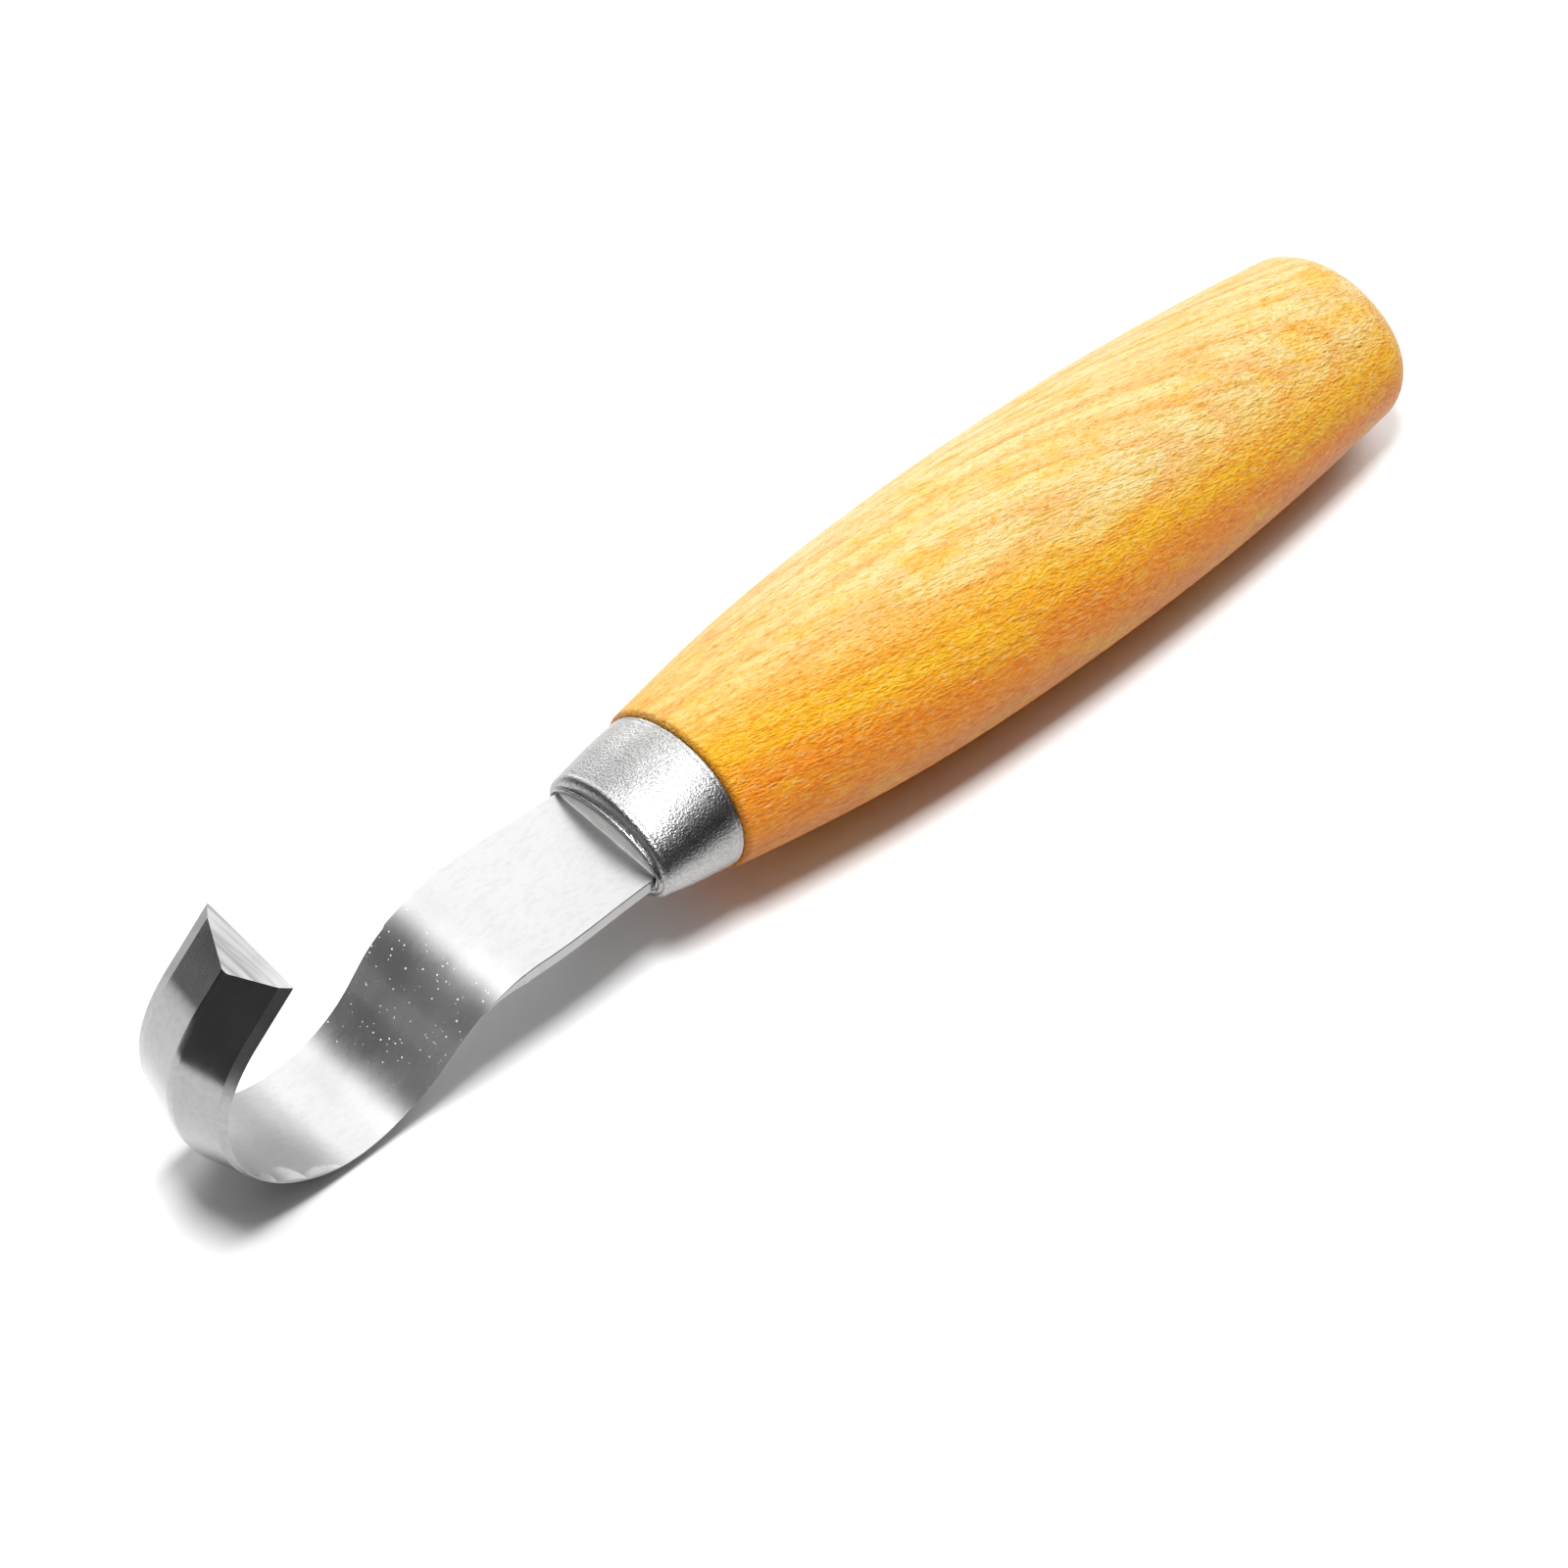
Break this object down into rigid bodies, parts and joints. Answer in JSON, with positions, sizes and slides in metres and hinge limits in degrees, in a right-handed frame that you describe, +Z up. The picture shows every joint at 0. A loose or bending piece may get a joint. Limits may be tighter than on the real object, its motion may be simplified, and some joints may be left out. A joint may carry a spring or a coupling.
{
  "type": "hook knife",
  "caption": "Woodcarving hook knife: a double-edged steel strip curled into an open hook, set through an oval steel ferrule into a barrel-shaped birch handle.",
  "frame": {"origin": "on the table, under the middle of the knife's box as it lies on its handle's belly and its hook's bend", "axes": "+X from the butt towards the hook, +Y to the knife's left side, +Z up, the way the hook curls"},
  "size_m": [0.1626, 0.0264, 0.0377],
  "materials": {
    "blade_steel": "finely ground and polished to a satin sheen",
    "ferrule_steel": "drawn sheet with a faintly pebbled satin surface",
    "oiled_birch": "sanded along the grain and oiled",
    "cured_adhesive": "matte, slightly grainy"
  },
  "bodies": {
    "root": {"blade": "blade_steel", "ferrule": "ferrule_steel", "handle": "oiled_birch", "tang_adhesive": "cured_adhesive"}
  },
  "joints": []
}
